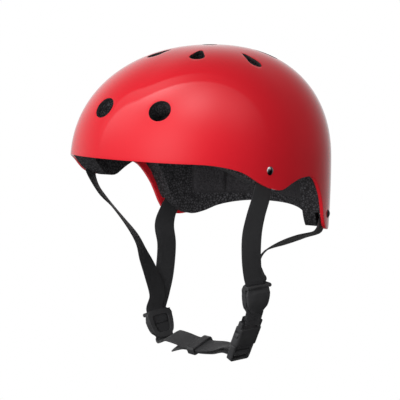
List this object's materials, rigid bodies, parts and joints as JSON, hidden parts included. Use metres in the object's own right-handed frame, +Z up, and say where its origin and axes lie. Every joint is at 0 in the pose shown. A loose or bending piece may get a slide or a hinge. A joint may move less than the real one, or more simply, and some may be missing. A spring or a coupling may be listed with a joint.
{
  "type": "sport helmet",
  "caption": "Hard-shell skate and bicycle helmet with round vents, foam liner, comfort pads and a webbing harness with locking strap dividers and a side-release buckle.",
  "frame": {"origin": "centre of the shell's widest level, where the head is held; Z = 0 is that level", "axes": "+Z up, -Y forward to the brow, +X to the wearer's left"},
  "size_m": [0.2116, 0.2672, 0.2964],
  "materials": {
    "shell_gloss": "high gloss",
    "liner_foam": "moulded bead foam",
    "pad_cloth": "brushed knit cloth over foam",
    "webbing": "woven polyester webbing",
    "rivet_chrome": "polished dome",
    "rivet_black": "satin black dome",
    "washer_steel": "plain",
    "buckle_plastic": "satin moulded"
  },
  "bodies": {
    "helmet": {"outer_shell": "shell_gloss", "foam_liner": "liner_foam", "brow_pad": "pad_cloth", "crown_pad": "pad_cloth", "side_pad_left": "pad_cloth", "side_pad_right": "pad_cloth", "nape_pad_left": "pad_cloth", "nape_pad_right": "pad_cloth", "pad_patches": "pad_cloth", "front_rivet_left": "rivet_chrome", "front_rivet_right": "rivet_chrome", "rear_rivet_left": "rivet_black", "rear_rivet_right": "rivet_black", "rivet_washers": "washer_steel", "front_strap_left": "webbing", "rear_strap_left": "webbing", "front_strap_right": "webbing", "rear_strap_right": "webbing", "chin_strap": "webbing", "divider_left": "buckle_plastic", "divider_right": "buckle_plastic", "buckle_socket": "buckle_plastic"},
    "plug": {"buckle_plug": "buckle_plastic"},
    "arm_front": {"buckle_arm_front": "buckle_plastic"},
    "arm_rear": {"buckle_arm_rear": "buckle_plastic"},
    "keeper": {"strap_keeper": "buckle_plastic"},
    "lock_left": {"divider_lock_left": "buckle_plastic"},
    "lock_right": {"divider_lock_right": "buckle_plastic"}
  },
  "joints": [
    {"name": "buckle_release", "type": "slide", "parent": "helmet", "child": "plug", "axis": [-0.4072, 0.058, -0.9115], "range_m": [0, 0.015], "deforming": ["chin_strap", "buckle_arm_front", "buckle_arm_rear"]},
    {"name": "arm_front_squeeze", "type": "hinge", "parent": "plug", "child": "arm_front", "pos_m": [0.05431, -0.03632, -0.16256], "axis": [-0.8966, 0.1647, 0.4111], "range_deg": [0, 15]},
    {"name": "arm_rear_squeeze", "type": "hinge", "parent": "plug", "child": "arm_rear", "pos_m": [0.05741, -0.01879, -0.16283], "axis": [0.8966, -0.1647, -0.4111], "range_deg": [0, 15]},
    {"name": "keeper_slide", "type": "slide", "parent": "plug", "child": "keeper", "axis": [-0.9458, 0.3232, -0.0315], "range_m": [-0.003, 0.005]},
    {"name": "divider_lock_left_hinge", "type": "hinge", "parent": "helmet", "child": "lock_left", "pos_m": [0.07657, -0.03194, -0.10576], "axis": [-0.2589, -0.9657, -0.0179], "range_deg": [0, 90]},
    {"name": "divider_lock_right_hinge", "type": "hinge", "parent": "helmet", "child": "lock_right", "pos_m": [-0.08685, 0.03014, -0.16084], "axis": [0.3391, 0.9374, 0.0789], "range_deg": [0, 90]}
  ],
  "couplings": [
    {"joint": "arm_rear_squeeze", "follows": "arm_front_squeeze", "ratio": 1}
  ]
}
